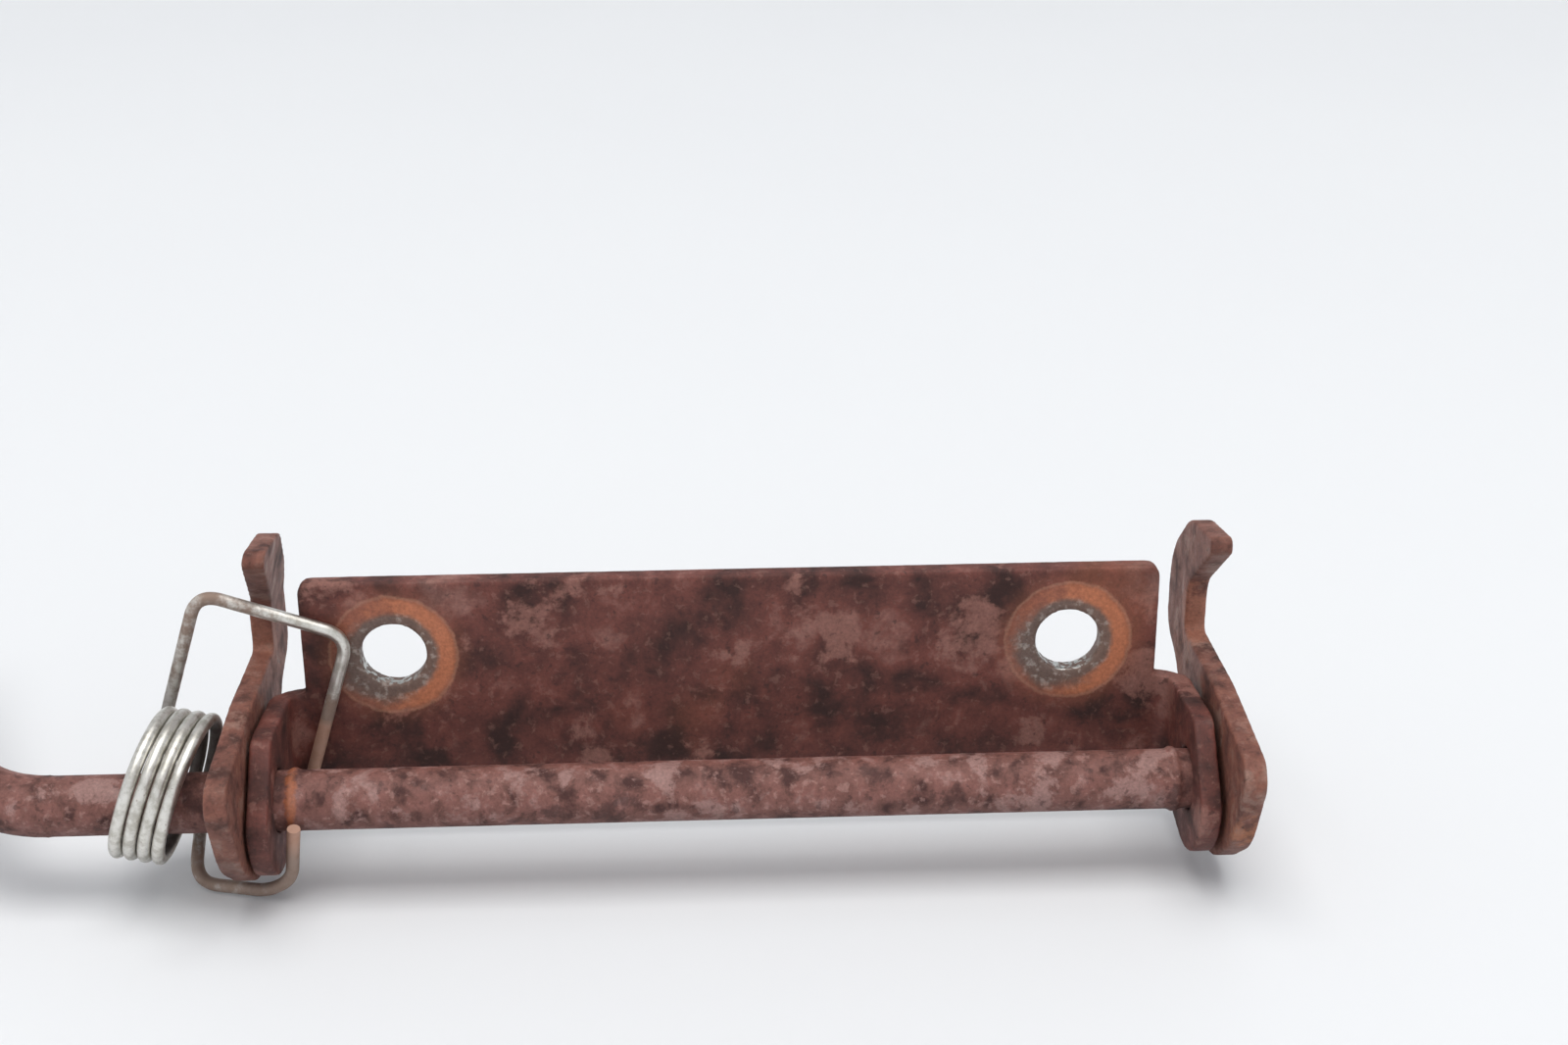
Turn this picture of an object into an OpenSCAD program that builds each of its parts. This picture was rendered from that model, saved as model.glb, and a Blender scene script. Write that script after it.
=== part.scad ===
// Double-hook cross-shaft latch: a folded bracket carries a turning shaft, and a hook
// at each end of the shaft catches a striker. A torsion spring keeps the hooks closed.
// X runs along the shaft, +Y points into the panel that the bracket bolts to, +Z is up.
// The origin is midway between the two bolt holes, on the bracket's mounting face.

/* [Bracket] */
// Thickness of the folded sheet
sheet_t = 3.4; // [2.5:0.1:4.2]
// Distance between the inner faces of the two ears
ear_gap = 141.4; // [115:0.1:175]
// Height of the bracket's plate
plate_h = 38.1; // [32:0.1:46]
// How far each end of the upper plate is set in from the ear's outer face
plate_inset = 5.6; // [4:0.1:9]
// Radius of the upper plate's two corners
corner_r = 2; // [0.5:0.1:5]
// Inner radius of the folds between plate and ears
fold_r = 2.5; // [1:0.1:4]
// Radius of the ears' rounded nose around the shaft
ear_nose_r = 11.5; // [9.5:0.1:14]
// Distance from the shaft's axis to the straight cut on the ears' upper front
ear_cut = 9.2; // [8:0.1:12]
// How far the ears' top edge falls from the nose to the mounting face
ear_fall = 1.3; // [0:0.1:3]

/* [Bolt holes] */
// Distance between the two bolt holes
hole_spacing = 108; // [85:0.5:130]
// Diameter of the bolt holes
hole_d = 10.3; // [6:0.1:12.5]
// Distance from the holes' centres to the plate's top edge
hole_edge = 12.6; // [9:0.1:16]

/* [Shaft and handle] */
// Diameter of the shaft
shaft_d = 9.5; // [7.5:0.1:11.5]
// Radial clearance between the shaft and the holes in the ears
shaft_clear = 0.08; // [0.02:0.01:0.1]
// Distance from the plate's front face to the shaft's axis
shaft_reach = 15.8; // [13:0.1:19]
// Distance from the bolt holes' centres down to the shaft's axis
shaft_drop = 17; // [15:0.1:20]
// How far the shaft stands out of the right hook
shaft_stub = 1.5; // [0.5:0.1:6]
// Straight length of the shaft beyond the left hook, up to the handle's bend
outboard_l = 28; // [24:0.5:60]
// Radius of the handle's bend, at the middle of the rod
bend_r = 19; // [12:0.5:30]
// Angle of the handle's bend, backwards from the shaft's line
bend_angle = 65; // [30:1:90]
// Straight length of the handle beyond the bend
handle_l = 60; // [30:1:120]
// Angle of the handle above the horizontal when the hooks are closed
handle_lift = 14; // [0:1:60]
// Height of the raised ring staked on the shaft inside each ear
stake_h = 0.4; // [0.2:0.05:0.8]
// Width of the staked ring
stake_w = 1; // [0.6:0.1:2]
// Distance from the ear's inner face to the staked ring
stake_gap = 1.8; // [0.5:0.1:4]

/* [Hooks] */
// Thickness of the hooks
hook_t = 3.6; // [2.5:0.1:4.5]
// Space between the left ear and the left hook
play_left = 0.3; // [0.2:0.05:1]
// Space between the right ear and the right hook
play_right = 0.7; // [0.2:0.05:1.5]
// Reach of the hook's nose in front of the shaft's axis
nose_reach = 21.3; // [17:0.1:26]
// Height of the arm's top edge above the shaft's axis
arm_h = 14.6; // [12:0.1:17]
// Drop of the arm's top edge from the shaft to the nose
nose_fall = 3; // [0:0.1:5]
// Distance from the shaft's axis back to the mouth's rear wall
mouth_depth = 24.1; // [19:0.1:29]
// Height of the mouth's rear wall
mouth_h = 8.5; // [7.5:0.1:11]
// Width of the neck behind the mouth
neck_w = 13; // [9:0.1:16]
// Height of the beak's top above the shaft's axis
beak_h = 36.6; // [31:0.1:46]
// Distance from the shaft's axis back to the beak's tip
beak_tip = 8.6; // [4:0.1:12]
// Thickness of the beak at its tip
beak_t = 3.2; // [2:0.1:5]
// Inward lean of the left hook's beak, which is bent over
left_lean = 10; // [0:0.5:14]
// How much higher the left hook's beak stands than the right hook's
left_rise = 1.0; // [0:0.1:1.5]
// Depth of the hook's lower corner below the shaft's axis, before it is rounded
belly = 16.2; // [14.5:0.1:20]
// Size of the weld beads on the hooks' outer faces
weld_leg = 2.4; // [1.5:0.1:3]

/* [Spring] */
// Diameter of the spring's wire
wire_d = 2.1; // [1.5:0.05:2.4]
// Space between the shaft and the inside of the coil
coil_clear = 5.4; // [4.5:0.1:8]
// Number of turns
coil_turns = 4.1; // [3.1:0.25:6.1]
// Distance from one turn to the next
coil_pitch = 2.2; // [2.2:0.05:3.2]
// Lean of the turns' top towards the left hook
coil_lean = 17; // [0:1:20]
// Fall of the coil towards the left hook
coil_fall = 9; // [0:1:14]
// Turn of the coil's rear towards the left hook
coil_skew = 5; // [0:1:10]
// Space between the coil and the left hook
coil_gap = 1.6; // [1:0.1:6]
// Space between the wire and the plate, hook and ear that it passes
wire_gap = 0.35; // [0.2:0.05:0.8]
// Height of the long leg's outer corner above the shaft's axis
leg_top = 29.9; // [24:0.1:31]
// Height of the long leg's inner corner above the shaft's axis
leg_inner_top = 21.1; // [15:0.1:25]
// Distance from the left ear to the long leg's inner corner
leg_inner_x = 10.1; // [6:0.1:20]

/* [Hidden] */
$fn = 96;
arc_step = 6;       // degrees between the points of an outline's rounded corner
corner_share = 0.9; // share of an outline's edge that one rounded corner may take
past = 1;           // how far a cut runs past the surface that it opens
far = 500;          // more than any size of the latch
bend_swell = 0.06;  // how much thicker the rod's bend is than the rod, on the radius
bend_lap = 0.5;     // how far the straight lengths run into the bend

rust = [0.36, 0.23, 0.2];
rust_light = [0.44, 0.29, 0.25];
spring_steel = [0.71, 0.7, 0.66];

shaft_r = shaft_d / 2;
shaft_y = -sheet_t - shaft_reach;
shaft_z = -shaft_drop;
ear_in = ear_gap / 2;
ear_out = ear_in + sheet_t;
plate_half = ear_out - plate_inset;
plate_low = hole_edge - plate_h;
left_face = -ear_out - play_left;      // left hook's inner face
right_face = ear_out + play_right;     // right hook's inner face
left_end = left_face - hook_t;
right_end = right_face + hook_t;
wire_r = wire_d / 2;

// Points of one outline corner [y, z, radius], rounded between its two neighbours.
function rounded_corner(before, corner, after) =
    let (p = [corner[0], corner[1]],
         u = [before[0], before[1]] - p, v = [after[0], after[1]] - p,
         un = u / norm(u), vn = v / norm(v),
         half = acos(un * vn) / 2,
         r = min(corner[2], corner_share * min(norm(u), norm(v)) * tan(half)),
         centre = p + (un + vn) / norm(un + vn) * r / sin(half),
         first = p + un * r / tan(half) - centre,
         last = p + vn * r / tan(half) - centre,
         from = atan2(first[1], first[0]),
         turn = atan2(first[0] * last[1] - first[1] * last[0], first * last),
         steps = max(1, ceil(abs(turn) / arc_step)))
    [for (i = [0 : steps]) centre + r * [cos(from + turn * i / steps), sin(from + turn * i / steps)]];

function rounded_outline(corners) =
    let (n = len(corners))
    [for (i = [0 : n - 1])
        each rounded_corner(corners[(i + n - 1) % n], corners[i], corners[(i + 1) % n])];

// The hook's side view, [y, z, corner radius] from the shaft's axis, y to the rear, for a
// beak whose top is at the given height.
function hook_corners(top) = [
    [-nose_reach, arm_h - nose_fall, 4],
    [4, arm_h, 25],
    [mouth_depth, arm_h, 1.2],
    [mouth_depth, arm_h + mouth_h, 6],
    [beak_tip + 2.1, top - beak_t, 1.2],
    [beak_tip, top, 1.6],
    [mouth_depth + 1.5, top - 2.6, 10],
    [mouth_depth + neck_w, arm_h + mouth_h + 1, 13],
    [mouth_depth + neck_w, arm_h - 4, 5],
    [mouth_depth + neck_w - 8, arm_h - 7.6, 10],
    [1.5, -belly, 12],
    [-nose_reach + 7.3, -belly + 11.6, 16]];
hook_bottom = min([for (p = rounded_outline(hook_corners(beak_h))) p[1]]);

// Turns and moves a side view drawn as [y, z] to the shaft, from x on by thickness t.
module side_plate(x, t) {
    translate([x, shaft_y, shaft_z])
        rotate([90, 0, 90])
            linear_extrude(t) children();
}

// Puts a shape drawn along +Z onto the shaft's axis, pointing towards +X.
module on_shaft(x) {
    translate([x, shaft_y, shaft_z]) rotate([0, 90, 0]) children();
}

// Plan view of the sheet folded into a channel, with outer and inner fold radii.
module bent_corner_block(half, back, r) {
    translate([-half, -far]) square([2 * half, far + back - r]);
    translate([r - half, back - r - past]) square([2 * (half - r), r + past]);
    for (side = [-1, 1]) translate([side * (half - r), back - r]) circle(r);
}

module channel_plan() {
    difference() {
        bent_corner_block(ear_out, 0, fold_r + sheet_t);
        bent_corner_block(ear_in, -sheet_t, fold_r);
    }
}

// Side view of an ear: a nose round the shaft, its upper front cut straight, run back
// to the plate along two edges that touch the nose's circle.
module ear_side() {
    high = [-shaft_y, ear_nose_r - ear_fall];
    low = [shaft_reach, plate_low - shaft_z];
    over = atan2(high[1], high[0]) + acos(ear_nose_r / norm(high));
    under = atan2(low[1], low[0]) - acos(ear_nose_r / norm(low));
    intersection() {
        union() {
            circle(ear_nose_r);
            polygon([[0, 0], ear_nose_r * [cos(over), sin(over)], high, [-shaft_y, low[1]], low,
                     ear_nose_r * [cos(under), sin(under)]]);
        }
        rotate(140) translate([-far, -far]) square([far + ear_cut, 2 * far]);
    }
}

// Upper plate, with its two rounded corners, drawn as [x, z].
module plate_front() {
    low = shaft_z;
    translate([-plate_half, low]) square([2 * plate_half, hole_edge - corner_r - low]);
    translate([corner_r - plate_half, low]) square([2 * (plate_half - corner_r), hole_edge - low]);
    for (side = [-1, 1]) translate([side * (plate_half - corner_r), hole_edge - corner_r]) circle(corner_r);
}

module mounting_bracket() {
    color(rust) difference() {
        union() {
            intersection() {
                translate([0, 0, shaft_z - far / 2]) linear_extrude(far) channel_plan();
                side_plate(-ear_out, 2 * ear_out) ear_side();
            }
            rotate([90, 0, 0]) linear_extrude(sheet_t) plate_front();
        }
        for (side = [-1, 1])
            translate([side * hole_spacing / 2, past, 0])
                rotate([90, 0, 0]) cylinder(h = sheet_t + 2 * past, d = hole_d);
        on_shaft(-ear_out - past) cylinder(h = 2 * (ear_out + past), r = shaft_r + shaft_clear);
    }
}

// The bend is a hair thicker than the rod, and both straight lengths run a little way into it.
module cross_shaft() {
    bend_x = left_end - outboard_l;
    color(rust_light) {
        on_shaft(-ear_in + stake_gap) cylinder(h = stake_w, r = shaft_r + stake_h);
        on_shaft(ear_in - stake_gap - stake_w) cylinder(h = stake_w, r = shaft_r + stake_h);
        translate([bend_x, shaft_y, shaft_z]) rotate([handle_lift, 0, 0]) {
            translate([-bend_lap, 0, 0]) rotate([0, 90, 0])
                cylinder(h = right_end + shaft_stub - bend_x + bend_lap, r = shaft_r);
            translate([0, bend_r, 0]) rotate(270 - bend_angle) {
                rotate_extrude(angle = bend_angle) translate([bend_r, 0]) circle(shaft_r + bend_swell);
                translate([bend_r, bend_lap, 0]) rotate([90, 0, 0]) {
                    cylinder(h = handle_l + bend_lap, r = shaft_r);
                    translate([0, 0, handle_l + bend_lap]) sphere(shaft_r);
                }
            }
        }
    }
}

module hook_side(top) {
    difference() {
        polygon(rounded_outline(hook_corners(top)));
        circle(shaft_r);
    }
}

// Edge-on view of a plate, drawn as [x, z], that is bent over at the height bend_z.
module bent_strip(bend_z) {
    mitre = hook_t / 2 * tan(left_lean / 2);
    up = far * [sin(left_lean), cos(left_lean)];
    inner = [hook_t / 2, bend_z - mitre];
    outer = [-hook_t / 2, bend_z + mitre];
    polygon([[outer[0], -far], [inner[0], -far], inner, inner + up, outer + up, outer]);
}

// The neck is bent at half its height, so that the beak leans over the bracket.
module left_hook() {
    color(rust) translate([left_end + hook_t / 2, shaft_y, shaft_z]) intersection() {
        rotate([90, 0, 90]) linear_extrude(far, center = true) hook_side(beak_h + left_rise);
        rotate([90, 0, 0]) linear_extrude(far, center = true) bent_strip(arm_h + 0.7 * mouth_h);
    }
}

module right_hook() {
    color(rust) side_plate(right_face, hook_t) hook_side(beak_h);
}

// A bead with a quarter-round section, its flat side on the hook's outer face.
module weld_bead() {
    rotate_extrude() intersection() {
        translate([shaft_r, 0]) circle(weld_leg);
        translate([shaft_r, 0]) square(weld_leg);
    }
}

module left_hook_weld() {
    color(rust_light) translate([left_end, shaft_y, shaft_z]) rotate([0, -90, 0]) weld_bead();
}

module right_hook_weld() {
    color(rust_light) on_shaft(right_end) difference() {
        weld_bead();
        translate([0, 0, shaft_stub]) cylinder(h = weld_leg + past, r = shaft_r + weld_leg + past);
    }
}

// The spring's middle line, [x, y, z] with y and z from the shaft's axis.
coil_r = shaft_r + coil_clear + wire_r;
coil_half = coil_turns * coil_pitch / 2;
coil_centre = [left_end - coil_gap - wire_r - coil_half * cos(coil_fall) - coil_r * sin(coil_lean), 1.3, 2.5];
wire_side = 10;      // sides of the wire's section
turn_rings = 20;     // rings in one turn of the coil
bend_rings = 4;      // steps round a bend of a leg
wire_bend = 4;       // length of leg taken up by each side of a bend

function skewed(p) = [p[0] * cos(coil_skew) + p[1] * sin(coil_skew),
                      p[1] * cos(coil_skew) - p[0] * sin(coil_skew), p[2]];
function leaned(p) = [p[0] * cos(coil_lean) + p[2] * sin(coil_lean), p[1],
                      p[2] * cos(coil_lean) - p[0] * sin(coil_lean)];
function coil_point(t) =
    coil_centre + leaned(skewed([0, coil_r * cos(360 * t), -coil_r * sin(360 * t)]))
    + (coil_pitch * t - coil_half) * [cos(coil_fall), -sin(coil_skew), -sin(coil_fall)];

// Corners of a leg, each rounded by a parabola between points close to the corner.
function leg_path(corners) =
    [for (i = [1 : len(corners) - 2])
        let (c = corners[i], a = corners[i - 1] - c, b = corners[i + 1] - c,
             side = min(wire_bend, 0.48 * norm(a), 0.48 * norm(b)),
             from = c + a / norm(a) * side, to = c + b / norm(b) * side)
        for (k = [0 : bend_rings])
            let (t = k / bend_rings) pow(1 - t, 2) * from + 2 * t * (1 - t) * c + t * t * to];

plate_y = shaft_reach - wire_r - wire_gap;
ear_x = -ear_in;
long_leg = [
    [ear_x + 2.2, plate_y, -4],
    [ear_x + leg_inner_x, plate_y, leg_inner_top],
    [left_end - 5.1, coil_centre[1] + coil_r, leg_top],
    coil_point(0)];
run_z = min(hook_bottom, -ear_nose_r) - wire_r - wire_gap;
short_leg = [
    coil_point(coil_turns),
    [left_end - 7.4, 1, run_z - 0.5],
    [ear_x - 2.5, -3, run_z],
    [ear_x + wire_r + wire_gap + 0.1, -4, -ear_nose_r - 0.1],
    [ear_x + 3, -shaft_r - stake_h - wire_r - wire_gap, -1.4]];
wire_path = concat(
    [long_leg[0]], leg_path(long_leg),
    [for (i = [0 : floor(coil_turns * turn_rings)]) coil_point(i / turn_rings)],
    leg_path(short_leg), [short_leg[len(short_leg) - 1]]);

// A tube swept along a path: each ring is the one before it, turned with the path.
function unit(v) = v / norm(v);
function path_dir(path, i) = unit(path[min(i + 1, len(path) - 1)] - path[max(i - 1, 0)]);
function carried(path, i, side) =
    i >= len(path) ? [] :
    let (d = path_dir(path, i), s = unit(side - d * (side * d)))
    concat([s], carried(path, i + 1, s));

module swept_wire(path) {
    n = len(path);
    sides = carried(path, 0, [1, 0.2, 0.1]);
    rings = [for (i = [0 : n - 1])
        let (s = sides[i], q = cross(path_dir(path, i), s))
        for (k = [0 : wire_side - 1])
            path[i] + wire_r * (s * cos(360 * k / wire_side) + q * sin(360 * k / wire_side))];
    walls = [for (i = [0 : n - 2]) for (k = [0 : wire_side - 1])
        let (a = i * wire_side + k, b = i * wire_side + (k + 1) % wire_side)
        each [[a, a + wire_side, b], [b, a + wire_side, b + wire_side]]];
    first = [for (k = [0 : wire_side - 1]) k];
    last = [for (k = [0 : wire_side - 1]) n * wire_side - 1 - k];
    polyhedron(rings, concat([first], walls, [last]), convexity = 10);
}

module return_spring() {
    color(spring_steel) translate([0, shaft_y, shaft_z]) swept_wire(wire_path);
}

mounting_bracket();
cross_shaft();
left_hook();
right_hook();
left_hook_weld();
right_hook_weld();
return_spring();
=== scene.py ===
import bpy
import math
from mathutils import Matrix, Vector
from mathutils.kdtree import KDTree


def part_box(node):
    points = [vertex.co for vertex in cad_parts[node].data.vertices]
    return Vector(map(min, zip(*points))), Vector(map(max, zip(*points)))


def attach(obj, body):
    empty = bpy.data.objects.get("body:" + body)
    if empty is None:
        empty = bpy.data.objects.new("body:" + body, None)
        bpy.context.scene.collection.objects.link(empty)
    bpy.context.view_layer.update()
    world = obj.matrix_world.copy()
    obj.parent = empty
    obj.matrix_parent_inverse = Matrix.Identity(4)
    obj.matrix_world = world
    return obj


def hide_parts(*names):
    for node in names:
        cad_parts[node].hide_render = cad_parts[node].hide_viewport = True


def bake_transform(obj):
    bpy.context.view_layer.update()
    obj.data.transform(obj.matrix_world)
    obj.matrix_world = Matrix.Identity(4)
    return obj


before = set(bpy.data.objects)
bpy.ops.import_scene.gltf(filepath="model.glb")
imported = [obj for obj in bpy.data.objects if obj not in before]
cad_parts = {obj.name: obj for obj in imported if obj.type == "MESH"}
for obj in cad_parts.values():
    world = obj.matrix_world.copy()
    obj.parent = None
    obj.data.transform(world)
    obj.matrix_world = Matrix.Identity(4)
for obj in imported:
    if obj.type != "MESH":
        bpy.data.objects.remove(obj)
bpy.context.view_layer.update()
mm = 0.001
print("frame loaded:", len(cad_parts), "nodes")


def hexColour(text):  # sRGB hex to the linear colour that the shaders want
    parts = [int(text[i:i + 2], 16) / 255 for i in (1, 3, 5)]
    return tuple(c / 12.92 if c <= 0.04045 else ((c + 0.055) / 1.055) ** 2.4 for c in parts) + (1.0,)


# The Mix node has a set of sockets for each kind of value, and these are the ones for colours.
mixShare, mixUnder, mixOver, mixResult = 0, 6, 7, 2


# A setting is a socket to link, a socket's value or one of the node's own choices.
def addNode(tree, kind, settings, output=0):
    node = tree.nodes.new(kind)
    for key, value in settings.items():
        if key == "stops":  # a ramp's places and colours
            ramp = node.color_ramp
            while len(ramp.elements) < len(value):
                ramp.elements.new(0.5)
            for element, (place, colour) in zip(ramp.elements, value):
                element.position = place
                element.color = hexColour(colour)
        elif isinstance(value, bpy.types.NodeSocket):
            tree.links.new(value, node.inputs[key])
        elif isinstance(key, int) or key in node.inputs:
            node.inputs[key].default_value = hexColour(value) if isinstance(value, str) else value
        else:
            setattr(node, key, value)
    return node.outputs[output]


def newMaterial(name):
    material = bpy.data.materials.new(name)
    material.use_nodes = True
    return material, material.node_tree, material.node_tree.nodes["Principled BSDF"]


def makeActive(piece):
    if bpy.context.object and bpy.context.object.mode != "OBJECT":
        bpy.ops.object.mode_set(mode="OBJECT")
    bpy.ops.object.select_all(action="DESELECT")
    piece.select_set(True)
    bpy.context.view_layer.objects.active = piece


def applyModifier(piece, kind, settings):
    makeActive(piece)
    modifier = piece.modifiers.new(kind.title(), kind)
    for key, value in settings.items():
        setattr(modifier, key, value)
    bpy.ops.object.modifier_apply(modifier=modifier.name)


# Mild steel, hot rolled, left outdoors until the mill scale has turned to an even brown rust.
# It gives a matt maroon-brown skin with ragged paler blotches a few mm wide and a fine 0.4 mm grit.
rustLook = {
    "dark": "#331915", "brown": "#572c25", "red": "#6a362d",
    "pale": "#875b51", "dust": "#9c7165", "orange": "#a05c3c",
    "blotchSize": 8.0, "patchSize": 12.0, "speckSize": 1.6, "gritSize": 0.45, "tintSize": 38,  # mm
    "blotchStops": (0.34, 0.47, 0.58, 0.7),  # where dark, brown, red and pale are full
    # Each layer: where its noise starts it, where it is full, how much it covers then.
    "palePatch": (0.56, 0.63, 0.85), "dustSpeck": (0.55, 0.66, 0.25), "darkSpeck": (0.42, 0.33, 0.6),
    "darkPatch": (0.44, 0.36, 0.4), "orangeTint": (0.58, 0.72, 0.25),
    # Painted shade: the colour of faces that look down is multiplied darker, standing in for the shade beneath
    # the parts.
    "underShade": 0.7, "underShadeFrom": 0.1, "underShadeTo": -0.75,  # the faces that look down are this much darker
    "noiseSpan": (0.3, 0.7), "grain": (0.8, 1.2), "roughness": (0.52, 0.8),
    "pitDepth": 0.09, "gritDepth": 0.035,  # mm
    "shift": (0, 0, 0),  # m, so that two pieces don't share one pattern
}
rustNoise = {  # detail, roughness and distortion of each noise
    "blotch": (5, 0.55, 0.25), "patch": (6, 0.62, 0.2), "speck": (6, 0.6, 0.3), "grit": (3, 0.6, 0),
    "tint": (3, 0.5, 0.2),
}
rustLayers = (  # from the lowest to the top one: its noise, its settings, its colour
    ("patch", "palePatch", "pale"), ("speck", "dustSpeck", "dust"), ("speck", "darkSpeck", "dark"),
    ("patch", "darkPatch", "dark"), ("tint", "orangeTint", "orange"),
)


def rustySteel(name, changes, extra=None):
    look = {**rustLook, **changes}
    material, tree, shader = newMaterial(name)
    place = addNode(tree, "ShaderNodeTexCoord", {}, "Object")
    moved = addNode(tree, "ShaderNodeMapping", {"Location": look["shift"], "Vector": place})
    noise = {}
    for kind, (detail, rough, twist) in rustNoise.items():
        noise[kind] = addNode(tree, "ShaderNodeTexNoise", {
            "Scale": 1 / (look[kind + "Size"] * mm), "Detail": detail, "Roughness": rough,
            "Distortion": twist, "Vector": moved}, "Fac")

    tones = (look["dark"], look["brown"], look["red"], look["pale"])
    colour = addNode(tree, "ShaderNodeValToRGB", {
        "stops": list(zip(look["blotchStops"], tones)), "Fac": noise["blotch"]})
    for kind, layer, tone in rustLayers:
        start, full, share = look[layer]
        mask = addNode(tree, "ShaderNodeMapRange", {
            "interpolation_type": "SMOOTHSTEP", "Value": noise[kind],
            "From Min": start, "From Max": full, "To Max": share})
        colour = addNode(tree, "ShaderNodeMix", {
            "data_type": "RGBA", mixShare: mask, mixUnder: colour, mixOver: look[tone]}, mixResult)

    # Painted shade: faces whose normal points down are multiplied darker, as if the shade under the parts were
    # in their colour.
    normal = addNode(tree, "ShaderNodeTexCoord", {}, "Normal")
    facing = addNode(tree, "ShaderNodeSeparateXYZ", {0: normal}, "Z")
    shade = addNode(tree, "ShaderNodeMapRange", {
        "Value": facing, "From Min": look["underShadeTo"], "From Max": look["underShadeFrom"],
        "To Min": look["underShade"], "To Max": 1.0})
    colour = addNode(tree, "ShaderNodeMix", {
        "data_type": "RGBA", "blend_type": "MULTIPLY",
        mixShare: 1.0, mixUnder: colour, mixOver: shade}, mixResult)

    low, high = look["noiseSpan"]
    silky, matt = look["roughness"]
    roughness = addNode(tree, "ShaderNodeMapRange", {
        "Value": noise["blotch"], "From Min": low, "From Max": high, "To Min": matt, "To Max": silky})
    if extra:
        colour, roughness, metal = extra(tree, place, colour, roughness)
        if metal:
            tree.links.new(metal, shader.inputs["Metallic"])

    darkest, lightest = look["grain"]
    grain = addNode(tree, "ShaderNodeMapRange", {
        "Value": noise["grit"], "From Min": low, "From Max": high, "To Min": darkest, "To Max": lightest})
    colour = addNode(tree, "ShaderNodeMix", {
        "data_type": "RGBA", "blend_type": "MULTIPLY",
        mixShare: 1.0, mixUnder: colour, mixOver: grain}, mixResult)
    pits = addNode(tree, "ShaderNodeBump", {
        "Strength": 1.0, "Distance": look["pitDepth"] * mm, "Height": noise["speck"]})
    relief = addNode(tree, "ShaderNodeBump", {
        "Strength": 1.0, "Distance": look["gritDepth"] * mm, "Height": noise["grit"], "Normal": pits})
    tree.links.new(colour, shader.inputs["Base Color"])
    tree.links.new(roughness, shader.inputs["Roughness"])
    tree.links.new(relief, shader.inputs["Normal"])
    return material


# Round the bolt holes the washers kept the skin thin: a grey-blue ring of scale and an orange one,
# with a few bright flecks of bare steel on the lower wall of each hole.
washerMark = {
    "orange": "#b86f4c", "orangeDeep": "#8e523c", "grey": "#5c514b", "greyPale": "#8f8a84",
    "rimPale": "#b58a72", "bareSteel": "#b9bab6",
    "holeX": 54, "greyShift": (-1.9, 0, -1.3),  # mm
    "wander": 4.4, "wavy": 0.3,  # mm that the grey's edge wanders, and the share of it at the rings' edges
    "noises": {"wander": (3.03, 6, 0.65), "mottle": (1.613, 6, 0.6), "fleck": (0.909, 4, 0.5)},  # size in mm
    # Where each mask starts and where it is full, in mm from the hole's middle, or as a noise's value.
    "inside": (10.65, 9.05), "collar": (7.75, 6.55), "scale": (8.7, 5.3), "halo": (13.35, 10.15),
    "rimInner": (9.6, 10.05), "rimOuter": (10.5, 10.1), "wall": (5.6, 5.2), "lower": (-0.5, -3.5),
    "deep": (0.75, 0.3), "mottled": (0.5, 0.64), "flecked": (0.46, 0.58),
    "deepSide": 45.0, "deepMottle": 1.1, "lowerSlope": 0.5,
    "haloShare": 0.25, "ringShare": 0.85, "scaleShare": 0.85, "rimShare": 0.25,
    "ringSmoother": -0.12, "bareSmoother": -0.3,  # added to the roughness
}


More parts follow.
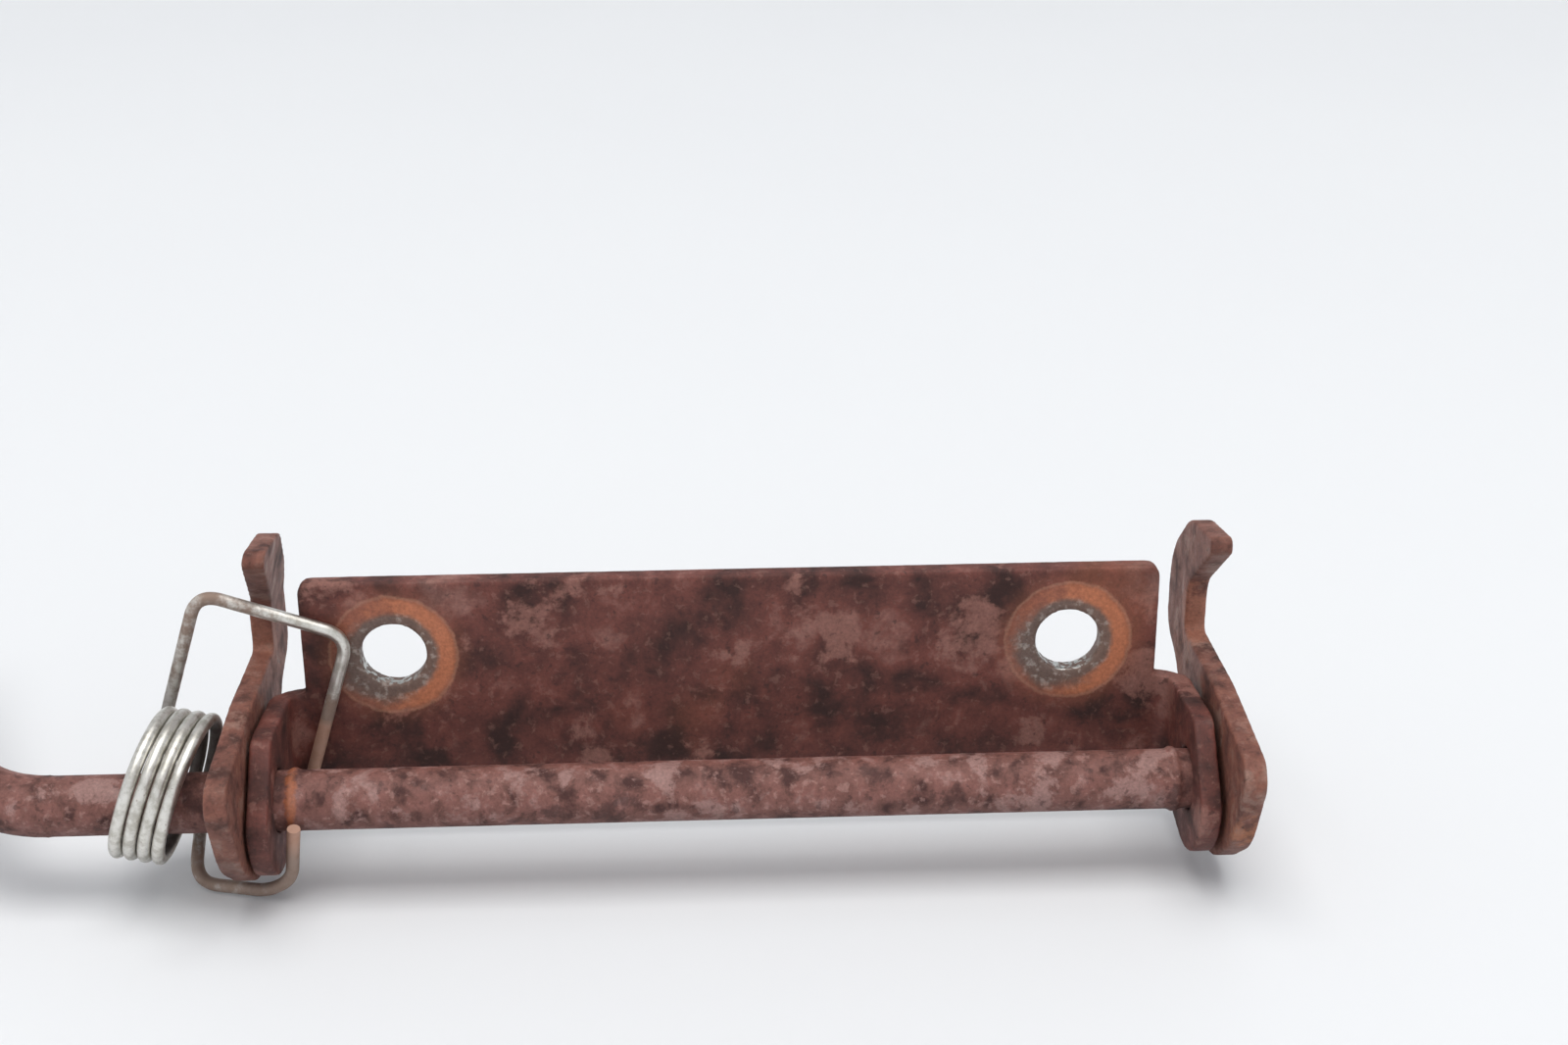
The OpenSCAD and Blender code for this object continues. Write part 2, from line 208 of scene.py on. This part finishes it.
def washerRings(tree, place, colour, roughness):
    w = washerMark
    x = addNode(tree, "ShaderNodeSeparateXYZ", {0: place}, "X")
    z = addNode(tree, "ShaderNodeSeparateXYZ", {0: place}, "Z")
    side = addNode(tree, "ShaderNodeMath", {"operation": "SIGN", 0: x})
    across = addNode(tree, "ShaderNodeMath", {"operation": "MULTIPLY_ADD", 0: side, 1: -w["holeX"] * mm, 2: x})
    fromHole = addNode(tree, "ShaderNodeCombineXYZ", {"X": across, "Z": z})
    noise = {}
    for kind, (size, detail, rough) in w["noises"].items():
        noise[kind] = addNode(tree, "ShaderNodeTexNoise", {
            "Scale": 1 / (size * mm), "Detail": detail, "Roughness": rough, "Vector": place}, "Fac")

    wander = addNode(tree, "ShaderNodeMath", {
        "operation": "MULTIPLY_ADD", 0: noise["wander"], 1: w["wander"] * mm, 2: -w["wander"] / 2 * mm})
    radius = addNode(tree, "ShaderNodeVectorMath", {"operation": "LENGTH", 0: fromHole}, "Value")
    wavy = addNode(tree, "ShaderNodeMath", {"operation": "MULTIPLY_ADD", 0: wander, 1: w["wavy"], 2: radius})
    greyMiddle = [value * mm for value in w["greyShift"]]
    greyRadius = addNode(tree, "ShaderNodeVectorMath", {
        "operation": "DISTANCE", 0: fromHole, 1: greyMiddle}, "Value")
    greyReach = addNode(tree, "ShaderNodeMath", {"operation": "ADD", 0: greyRadius, 1: wander})
    mottle = addNode(tree, "ShaderNodeMath", {"operation": "MULTIPLY", 0: noise["mottle"], 1: w["deepMottle"]})
    around = addNode(tree, "ShaderNodeMath", {
        "operation": "MULTIPLY_ADD", 0: across, 1: w["deepSide"], 2: mottle})
    slope = addNode(tree, "ShaderNodeMath", {"operation": "MULTIPLY_ADD", 0: across, 1: w["lowerSlope"], 2: z})

    masks = {}
    readings = (("inside", wavy, mm), ("collar", wavy, mm), ("scale", greyReach, mm), ("halo", wavy, mm),
                ("rimInner", wavy, mm), ("rimOuter", wavy, mm), ("wall", radius, mm), ("lower", slope, mm),
                ("deep", around, 1), ("mottled", noise["mottle"], 1), ("flecked", noise["fleck"], 1))
    for kind, reading, unit in readings:
        start, full = w[kind]
        masks[kind] = addNode(tree, "ShaderNodeMapRange", {
            "interpolation_type": "SMOOTHSTEP", "Value": reading,
            "From Min": start * unit, "From Max": full * unit})

    orange = addNode(tree, "ShaderNodeMix", {
        "data_type": "RGBA",
        mixShare: masks["deep"], mixUnder: w["orange"], mixOver: w["orangeDeep"]}, mixResult)
    grey = addNode(tree, "ShaderNodeMix", {
        "data_type": "RGBA",
        mixShare: masks["mottled"], mixUnder: w["grey"], mixOver: w["greyPale"]}, mixResult)
    scale = addNode(tree, "ShaderNodeMath", {"operation": "MAXIMUM", 0: masks["scale"], 1: masks["collar"]})
    scale = addNode(tree, "ShaderNodeMath", {"operation": "MULTIPLY", 0: scale, 1: masks["inside"]})
    rim = addNode(tree, "ShaderNodeMath", {"operation": "MULTIPLY", 0: masks["rimInner"], 1: masks["rimOuter"]})
    bare = addNode(tree, "ShaderNodeMath", {"operation": "MULTIPLY", 0: masks["wall"], 1: masks["lower"]})
    bare = addNode(tree, "ShaderNodeMath", {"operation": "MULTIPLY", 0: bare, 1: masks["flecked"]})
    layers = ((masks["halo"], w["haloShare"], w["orangeDeep"]), (masks["inside"], w["ringShare"], orange),
              (scale, w["scaleShare"], grey), (rim, w["rimShare"], w["rimPale"]), (bare, 1.0, w["bareSteel"]))
    for mask, share, tone in layers:
        cover = addNode(tree, "ShaderNodeMath", {"operation": "MULTIPLY", 0: mask, 1: share})
        colour = addNode(tree, "ShaderNodeMix", {
            "data_type": "RGBA", mixShare: cover, mixUnder: colour, mixOver: tone}, mixResult)
    for mask, change in ((masks["inside"], w["ringSmoother"]), (bare, w["bareSmoother"])):
        roughness = addNode(tree, "ShaderNodeMath", {
            "operation": "MULTIPLY_ADD", 0: mask, 1: change, 2: roughness})
    return colour, roughness, bare


# Fresh orange rust where water stands: each blob has its middle and half sizes in mm, colour and strength.
rustBlobs = {
    "shaft": (((-68.4, -19.2, -17), (1.0, 8, 8), "#a05c38", 0.75),),
    "hooks": (((76.6, 3, 0), (5, 5, 6), "#9e6650", 0.65), ((76.6, -37, -22), (5, 5, 7), "#9c6242", 0.6),
              ((-76.2, 6, -1), (5, 4, 4), "#96634f", 0.4)),
    "raggedSize": 2.381, "raggedDetail": 7, "raggedRoughness": 0.68,  # the size in mm
    "raggedReach": 3.0, "edge": (1.15, 0.5),  # in half sizes from the blob's middle
}


def blobsOf(piece):
    def extra(tree, place, colour, roughness):
        b = rustBlobs
        ragged = addNode(tree, "ShaderNodeTexNoise", {
            "Scale": 1 / (b["raggedSize"] * mm), "Detail": b["raggedDetail"],
            "Roughness": b["raggedRoughness"], "Vector": place}, "Fac")
        wander = addNode(tree, "ShaderNodeMath", {
            "operation": "MULTIPLY_ADD", 0: ragged, 1: b["raggedReach"], 2: -b["raggedReach"] / 2})
        start, full = b["edge"]
        for middle, halfSize, tone, strength in b[piece]:
            offset = addNode(tree, "ShaderNodeVectorMath", {
                "operation": "SUBTRACT", 0: place, 1: [value * mm for value in middle]})
            scaled = addNode(tree, "ShaderNodeVectorMath", {
                "operation": "DIVIDE", 0: offset, 1: [value * mm for value in halfSize]})
            distance = addNode(tree, "ShaderNodeVectorMath", {"operation": "LENGTH", 0: scaled}, "Value")
            uneven = addNode(tree, "ShaderNodeMath", {"operation": "ADD", 0: distance, 1: wander})
            mask = addNode(tree, "ShaderNodeMapRange", {
                "interpolation_type": "SMOOTHSTEP", "Value": uneven,
                "From Min": start, "From Max": full, "To Max": strength})
            colour = addNode(tree, "ShaderNodeMix", {
                "data_type": "RGBA", mixShare: mask, mixUnder: colour, mixOver: tone}, mixResult)
        return colour, roughness, None
    return extra


# The sheet is the darkest and has the broadest blotches, and the rod and the cut plate are paler and finer.
bracketRust = rustySteel("rusted_mild_steel_sheet", {}, washerRings)
shaftRust = rustySteel("rusted_mild_steel_rod", {
    "dark": "#43231f", "brown": "#714840", "red": "#7c4f47", "pale": "#93706a", "dust": "#a9827a",
    "blotchSize": 4.2, "patchSize": 8.0, "dustSpeck": (0.55, 0.66, 0.4), "darkPatch": (0.44, 0.36, 0.75),
    "shift": (0.31, 0.12, 0.07)}, blobsOf("shaft"))
hookRust = rustySteel("rusted_mild_steel_plate", {
    "dark": "#45251d", "brown": "#704337", "red": "#7d4d3e", "pale": "#8a695d", "dust": "#9d7c71",
    "blotchSize": 5.0, "shift": (0.05, 0.4, 0.2)}, blobsOf("hooks"))
weldRust = rustySteel("rusted_weld_metal", {
    "dark": "#44251f", "brown": "#633b31", "blotchSize": 2.2, "shift": (0.2, 0.02, 0.5)})


# Spring steel wire, drawn bright and plated: the steel shows cool and silky, softly clouded,
# with a brown stain where it has rubbed on the rusted parts and a little on the coil, and painted shade with
# some dirt, dark brown, on the wire's faces inside the coil.
wireLook = {
    # The last colour here is painted shade with some dirt: the dark brown of the wire's faces inside the coil.
    "bright": "#e0ded8", "dull": "#bfbcb3", "stain": "#84695a", "tan": "#ad7e66", "inner": "#33231f",
    "noises": {"cloud": (1.923, 6, 0.62), "fleck": (0.6667, 4, 0.5)},  # size in mm, detail, roughness
    "dulled": (0.4, 0.65), "stained": (0.46, 0.72), "flecked": (0.66, 0.72), "tanned": (0.88, 0.98),
    "stainWeight": 0.62, "cloudWeight": 0.6, "fleckShare": 0.5, "stainShare": 0.85, "innerShare": 0.85,
    "roughness": (0.36, 0.48), "stainAndShadeRougher": 0.25, "stainAndShadeLessMetal": -0.6,
    "fleckDepth": 0.02,  # mm
}


def brightWire():
    w = wireLook
    material, tree, shader = newMaterial("bright_drawn_spring_wire")
    place = addNode(tree, "ShaderNodeTexCoord", {}, "Object")
    stained = addNode(tree, "ShaderNodeAttribute", {"attribute_name": "stain"}, "Fac")
    # This attribute marks painted shade with some dirt: it is full on the wire's faces that look into the coil.
    within = addNode(tree, "ShaderNodeAttribute", {"attribute_name": "within"}, "Fac")
    noise = {}
    for kind, (size, detail, rough) in w["noises"].items():
        noise[kind] = addNode(tree, "ShaderNodeTexNoise", {
            "Scale": 1 / (size * mm), "Detail": detail, "Roughness": rough, "Vector": place}, "Fac")
    clouded = addNode(tree, "ShaderNodeMath", {"operation": "MULTIPLY", 0: noise["cloud"], 1: w["cloudWeight"]})
    uneven = addNode(tree, "ShaderNodeMath", {
        "operation": "MULTIPLY_ADD", 0: stained, 1: w["stainWeight"], 2: clouded})

    masks = {}
    readings = (("dulled", noise["cloud"], 1.0), ("stained", uneven, 1.0),
                ("flecked", noise["fleck"], w["fleckShare"]), ("tanned", stained, 1.0))
    for kind, reading, share in readings:
        start, full = w[kind]
        masks[kind] = addNode(tree, "ShaderNodeMapRange", {
            "interpolation_type": "SMOOTHSTEP", "Value": reading,
            "From Min": start, "From Max": full, "To Max": share})
    colour = addNode(tree, "ShaderNodeMix", {
        "data_type": "RGBA", mixShare: masks["dulled"], mixUnder: w["bright"], mixOver: w["dull"]}, mixResult)
    tone = addNode(tree, "ShaderNodeMix", {
        "data_type": "RGBA", mixShare: masks["tanned"], mixUnder: w["stain"], mixOver: w["tan"]}, mixResult)
    brown = addNode(tree, "ShaderNodeMath", {"operation": "MAXIMUM", 0: masks["stained"], 1: masks["flecked"]})
    # The second layer is painted shade with some dirt, laid over the faces inside the coil.
    for mask, share, over in ((brown, w["stainShare"], tone), (within, w["innerShare"], w["inner"])):
        cover = addNode(tree, "ShaderNodeMath", {"operation": "MULTIPLY", 0: mask, 1: share})
        colour = addNode(tree, "ShaderNodeMix", {
            "data_type": "RGBA", mixShare: cover, mixUnder: colour, mixOver: over}, mixResult)

    # The stains and the painted inside shade both take metal away and add roughness.
    stainAndShade = addNode(tree, "ShaderNodeMath", {"operation": "MAXIMUM", 0: brown, 1: within})
    metal = addNode(tree, "ShaderNodeMath", {
        "operation": "MULTIPLY_ADD", 0: stainAndShade, 1: w["stainAndShadeLessMetal"], 2: 1.0})
    silky, matt = w["roughness"]
    roughness = addNode(tree, "ShaderNodeMapRange", {"Value": noise["cloud"], "To Min": silky, "To Max": matt})
    roughness = addNode(tree, "ShaderNodeMath", {
        "operation": "MULTIPLY_ADD", 0: stainAndShade, 1: w["stainAndShadeRougher"], 2: roughness})
    relief = addNode(tree, "ShaderNodeBump", {
        "Strength": 1.0, "Distance": w["fleckDepth"] * mm, "Height": noise["fleck"]})
    tree.links.new(colour, shader.inputs["Base Color"])
    tree.links.new(metal, shader.inputs["Metallic"])
    tree.links.new(roughness, shader.inputs["Roughness"])
    tree.links.new(relief, shader.inputs["Normal"])
    return material


wireMetal = brightWire()
print("materials made")


# Each rusted piece is a merged copy of its CAD node, with its edges worn round and its skin eaten by rust.
# Sizes are in mm: the round of the edges, the voxels, how deep the rust has eaten and how wide its lumps are.
wornPieces = {
    "bracket": {"node": "mounting_bracket", "body": "bracket", "slot": "rusted_sheet",
                "material": bracketRust, "edge": 0.25, "voxel": 0.44, "soften": 3, "eaten": 0.12, "lump": 5.0},
    "shaft": {"node": "cross_shaft", "body": "turning_shaft", "slot": "rusted_rod",
              "material": shaftRust, "edge": 0.12, "voxel": 0.4, "soften": 2, "eaten": 0.08, "lump": 3.0},
    "leftHook": {"node": "left_hook", "body": "turning_shaft", "slot": "rusted_hook",
                 "material": hookRust, "edge": 0.22, "voxel": 0.3, "soften": 5, "eaten": 0.16, "lump": 3.0},
    "rightHook": {"node": "right_hook", "body": "turning_shaft", "slot": "rusted_hook",
                  "material": hookRust, "edge": 0.22, "voxel": 0.3, "soften": 5, "eaten": 0.16, "lump": 3.0},
    "leftWeld": {"node": "left_hook_weld", "body": "turning_shaft", "slot": "rusted_weld",
                 "material": weldRust, "edge": 0, "voxel": 0.2, "soften": 3, "eaten": 0.4, "lump": 1.6},
    "rightWeld": {"node": "right_hook_weld", "body": "turning_shaft", "slot": "rusted_weld",
                  "material": weldRust, "edge": 0, "voxel": 0.2, "soften": 3, "eaten": 0.4, "lump": 1.6},
}
wornSkin = {
    "merge": 0.002, "edgeSteps": 2, "edgeAngle": 38, "softenFactor": 0.5,  # mm and degrees
    "broad": (1.0, 0.6), "fine": (0.3, 0.4), "noiseDepth": 3,  # shares of the lump and of the eaten depth
}


def wornCopy(name, s):
    piece = bpy.data.objects.new(name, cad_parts[s["node"]].data.copy())
    bpy.context.scene.collection.objects.link(piece)
    makeActive(piece)
    bpy.ops.object.mode_set(mode="EDIT")
    bpy.ops.mesh.select_all(action="SELECT")
    bpy.ops.mesh.remove_doubles(threshold=wornSkin["merge"] * mm)
    bpy.ops.mesh.customdata_custom_splitnormals_clear()
    bpy.ops.object.mode_set(mode="OBJECT")
    if s["edge"]:
        applyModifier(piece, "BEVEL", {
            "width": s["edge"] * mm, "segments": wornSkin["edgeSteps"], "limit_method": "ANGLE",
            "angle_limit": math.radians(wornSkin["edgeAngle"]), "use_clamp_overlap": False})
    applyModifier(piece, "REMESH", {"mode": "VOXEL", "voxel_size": s["voxel"] * mm, "use_smooth_shade": True})
    applyModifier(piece, "SMOOTH", {"factor": wornSkin["softenFactor"], "iterations": s["soften"]})
    for kind in ("broad", "fine"):
        size, depth = wornSkin[kind]
        relief = bpy.data.textures.new(name + kind, "CLOUDS")  # Blender's own noise, nothing random in it
        relief.noise_scale = s["lump"] * size * mm
        relief.noise_depth = wornSkin["noiseDepth"]
        applyModifier(piece, "DISPLACE", {"texture": relief, "texture_coords": "LOCAL", "mid_level": 1.0,
                                          "strength": s["eaten"] * depth * mm})
    piece.data.materials.clear()
    piece.data.materials.append(s["material"])
    makeActive(piece)
    bpy.ops.object.shade_smooth()
    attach(piece, s["body"])
    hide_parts(s["node"])
    print(name, "made:", len(piece.data.polygons), "faces")


for pieceName, settings in wornPieces.items():
    wornCopy(pieceName, settings)


# The return spring is round wire along the same line as its CAD node.
# Sizes are in mm and degrees. The legs' corners and the coil's middle are measured from the shaft's axis.
spring = {
    "wireR": 1.03, "cadWireR": 1.05, "coilR": 11.2, "turns": 4.1, "pitch": 2.2,
    "lean": 17, "fall": 9, "skew": 5, "bend": 4.0, "bendShare": 0.48,
    "shaftY": -19.2, "shaftZ": -17.0, "hookEnd": -78.0, "coilGap": 1.6, "coilY": 1.3, "coilZ": 2.5,
    "wireGap": 0.29,  # under the hooks' lowest edge
    "longLeg": ((-68.5, 14.4, -4), (-60.6, 14.4, 21.1), (-83.1, 12.5, 29.9)),
    "shortLegRun": ((-85.4, 1, -0.5), (-73.2, -3, 0)),  # heights from the run under the hook
    "shortLegRise": ((-69.2, -4, -11.6), (-67.7, -6.55, -1.4)),
    "ringsPerTurn": 56, "stepsPerBend": 12, "legSteps": 12, "legShare": 0.8, "roundSteps": 4,
    "endStain": 1.0, "coilStain": 0.15, "stainFrom": 0.5, "stainFall": 2.2,
    "longBendStains": (0.1, 0.6), "shortBendStains": (0.7, 0.85),
    "innerFrom": 0.1, "innerSpan": 0.5,  # cosine of the angle to the coil's middle
    "smoothAngle": 40,
}


def coilPoint(t):
    s = spring
    half = s["turns"] * s["pitch"] / 2
    lean, fall, skew = (math.radians(s[k]) for k in ("lean", "fall", "skew"))
    centreX = s["hookEnd"] - s["coilGap"] - s["cadWireR"] - half * math.cos(fall) - s["coilR"] * math.sin(lean)
    y, z = s["coilR"] * math.cos(math.tau * t), -s["coilR"] * math.sin(math.tau * t)
    x, y = y * math.sin(skew), y * math.cos(skew)
    x, z = x * math.cos(lean) + z * math.sin(lean), z * math.cos(lean) - x * math.sin(lean)
    along = s["pitch"] * t - half
    return Vector((centreX + x + along * math.cos(fall), s["coilY"] + y - along * math.sin(skew),
                   s["coilZ"] + z - along * math.sin(fall)))


def roundedLeg(corners):
    points = []
    for before, corner, after in zip(corners, corners[1:], corners[2:]):
        a, b = before - corner, after - corner
        side = min(spring["bend"], spring["bendShare"] * a.length, spring["bendShare"] * b.length)
        start, end = corner + a.normalized() * side, corner + b.normalized() * side
        for k in range(spring["stepsPerBend"] + 1):
            t = k / spring["stepsPerBend"]
            points.append((1 - t) ** 2 * start + 2 * t * (1 - t) * corner + t * t * end)
    return points


def springLine():  # points, each with its stain and whether it is in the coil
    s = spring
    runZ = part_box("right_hook")[0].z / mm - s["shaftZ"] - s["cadWireR"] - s["wireGap"]
    longLeg = [Vector(p) for p in s["longLeg"]] + [coilPoint(0)]
    shortLeg = [coilPoint(s["turns"])] + [Vector((x, y, runZ + z)) for x, y, z in s["shortLegRun"]]
    shortLeg += [Vector(p) for p in s["shortLegRise"]]
    coil = [coilPoint(i / s["ringsPerTurn"]) for i in range(int(s["turns"] * s["ringsPerTurn"]) + 1)]
    path = [(longLeg[0], s["endStain"], 0)]
    for i in range(s["legSteps"]):  # the long leg's straight, browner towards its lower end
        share = (i + 1) / (s["legSteps"] + 1)
        stain = max(s["coilStain"], s["endStain"] - s["stainFall"] * max(0, share - s["stainFrom"]))
        path.append((longLeg[0].lerp(longLeg[1], share * s["legShare"]), stain, 0))
    bendPoints = s["stepsPerBend"] + 1
    first, second = s["longBendStains"]
    path += [(p, first if i < bendPoints else second, 0) for i, p in enumerate(roundedLeg(longLeg))]
    path += [(p, s["coilStain"], 1) for p in coil]
    first, second = s["shortBendStains"]
    path += [(p, first if i < 2 * bendPoints else second, 0) for i, p in enumerate(roundedLeg(shortLeg))]
    return path + [(shortLeg[-1], s["endStain"], 0)]


def makeSpring():
    s = spring
    path = springLine()
    curve = bpy.data.curves.new("springWire", "CURVE")
    curve.dimensions = "3D"
    curve.bevel_depth = s["wireR"] * mm
    curve.bevel_resolution = s["roundSteps"]
    curve.use_fill_caps = True
    spline = curve.splines.new("POLY")
    spline.points.add(len(path) - 1)
    nearest = KDTree(len(path))
    for i, (point, stain, inCoil) in enumerate(path):
        place = (point + Vector((0, s["shaftY"], s["shaftZ"]))) * mm
        spline.points[i].co = (*place, 1)
        nearest.insert(place, i)
    nearest.balance()
    piece = bpy.data.objects.new("returnSpring", curve)
    bpy.context.scene.collection.objects.link(piece)
    makeActive(piece)
    bpy.ops.object.convert(target="MESH")
    piece = bpy.context.object

    stains = piece.data.attributes.new("stain", "FLOAT", "POINT")
    # The second attribute is the mask for painted shade with some dirt: full where a coil face looks toward the
    # coil's middle.
    insideShadeAndDirtMasks = piece.data.attributes.new("within", "FLOAT", "POINT")
    middle = (coilPoint(0) + coilPoint(0.5) + coilPoint(s["turns"]) + coilPoint(s["turns"] - 0.5)) / 4
    middle = (middle + Vector((0, s["shaftY"], s["shaftZ"]))) * mm
    for vertex, stain, within in zip(piece.data.vertices, stains.data, insideShadeAndDirtMasks.data):
        onLine, i, away = nearest.find(vertex.co)
        stain.value = path[i][1]
        inwards = middle - onLine
        inwards.x = 0
        facing = (vertex.co - onLine).normalized().dot(inwards.normalized())
        within.value = path[i][2] * min(1, max(0, (facing - s["innerFrom"]) / s["innerSpan"]))
    piece.data.materials.append(wireMetal)
    bpy.ops.object.shade_smooth_by_angle(angle=math.radians(s["smoothAngle"]))
    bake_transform(piece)
    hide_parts("return_spring")
    print("spring made:", len(piece.data.polygons), "faces")


makeSpring()


# The studio is a pale seamless floor that curves up all round, with one big soft light overhead.
studio = {
    "floorZ": -32.95,  # mm, just under the spring's run below the hook
    "floorR": 1.7, "sweepR": 0.5, "wallH": 0.8, "sweepSteps": 12, "turnSteps": 96, "merge": 0.0001,  # m
    "paper": "#eaecee", "paperShade": "#e6e8eb", "paperLump": 333.3, "paperDetail": 2,  # the lump in mm
    "paperRoughness": 0.55,
    "lightColour": "#fffdfa", "lightSize": 2.8, "lightHeight": 3.0, "lightY": -0.8, "lightPower": 80.0,
    "airColour": "#f4f6fa", "airStrength": 0.5,
}


def makeFloor():  # a profile turned round the Z axis, as a potter would
    s = studio
    profile = [(0, 0), (s["floorR"], 0)]
    for i in range(1, s["sweepSteps"] + 1):
        turn = math.pi / 2 * i / s["sweepSteps"]
        profile.append((s["floorR"] + s["sweepR"] * math.sin(turn), s["sweepR"] * (1 - math.cos(turn))))
    profile.append((s["floorR"] + s["sweepR"], s["sweepR"] + s["wallH"]))
    bpy.ops.object.select_all(action="DESELECT")
    mesh = bpy.data.meshes.new("studioFloor")
    mesh.from_pydata([(x, 0, z + s["floorZ"] * mm) for x, z in profile],
                     [(i, i + 1) for i in range(len(profile) - 1)], [])
    floor = bpy.data.objects.new("studioFloor", mesh)
    bpy.context.scene.collection.objects.link(floor)
    makeActive(floor)
    bpy.ops.object.mode_set(mode="EDIT")
    bpy.ops.mesh.select_all(action="SELECT")
    bpy.ops.mesh.spin(steps=s["turnSteps"], angle=math.tau, center=(0, 0, 0), axis=(0, 0, 1))
    bpy.ops.mesh.select_all(action="SELECT")
    bpy.ops.mesh.remove_doubles(threshold=s["merge"])
    bpy.ops.mesh.normals_make_consistent(inside=True)
    bpy.ops.object.mode_set(mode="OBJECT")
    bpy.ops.object.shade_smooth()
    return floor


# Matt seamless paper: nearly white, with a trace of sheen and broad clouds that can barely be seen.
def studioPaper():
    s = studio
    material, tree, shader = newMaterial("seamless_studio_paper")
    place = addNode(tree, "ShaderNodeTexCoord", {}, "Object")
    clouds = addNode(tree, "ShaderNodeTexNoise", {
        "Scale": 1 / (s["paperLump"] * mm), "Detail": s["paperDetail"], "Vector": place}, "Fac")
    colour = addNode(tree, "ShaderNodeMix", {
        "data_type": "RGBA", mixShare: clouds, mixUnder: s["paper"], mixOver: s["paperShade"]}, mixResult)
    tree.links.new(colour, shader.inputs["Base Color"])
    shader.inputs["Roughness"].default_value = s["paperRoughness"]
    return material


floor = makeFloor()
floor.data.materials.append(studioPaper())

scene = bpy.context.scene
air = bpy.data.worlds.new("studioAir")
scene.world = air
air.use_nodes = True
air.node_tree.nodes["Background"].inputs["Color"].default_value = hexColour(studio["airColour"])
air.node_tree.nodes["Background"].inputs["Strength"].default_value = studio["airStrength"]

softbox = bpy.data.lights.new("overheadSoftbox", "AREA")
softbox.shape = "SQUARE"
softbox.size = studio["lightSize"]
softbox.energy = studio["lightPower"]
softbox.color = hexColour(studio["lightColour"])[:3]
softboxObject = bpy.data.objects.new("overheadSoftbox", softbox)
softboxObject.location = (0, studio["lightY"], studio["lightHeight"])
scene.collection.objects.link(softboxObject)


camera = {
    "place": (-5.8, -320.6, 146.7), "pitch": 21.54, "yaw": 2.54, "roll": -0.21,  # mm and degrees
    "lens": 50.02, "sensor": 36, "near": 0.01, "far": 20,  # mm, mm, m, m
}


def makeCamera():
    c = camera
    pitch, yaw, roll = (math.radians(c[k]) for k in ("pitch", "yaw", "roll"))
    ahead = Vector((math.sin(yaw) * math.cos(pitch), math.cos(yaw) * math.cos(pitch), -math.sin(pitch)))
    right = Vector((math.cos(yaw), -math.sin(yaw), 0))
    up = right.cross(ahead)
    right, up = (math.cos(roll) * right + math.sin(roll) * up, math.cos(roll) * up - math.sin(roll) * right)
    data = bpy.data.cameras.new("studioCamera")
    data.lens = c["lens"]
    data.sensor_width = c["sensor"]
    data.clip_start = c["near"]
    data.clip_end = c["far"]
    viewer = bpy.data.objects.new("studioCamera", data)
    scene.collection.objects.link(viewer)
    turn = Matrix((right, up, -ahead)).transposed().to_4x4()
    viewer.matrix_world = Matrix.Translation([v * mm for v in c["place"]]) @ turn
    scene.camera = viewer


makeCamera()
scene.view_settings.view_transform = "Standard"
print("studio made")
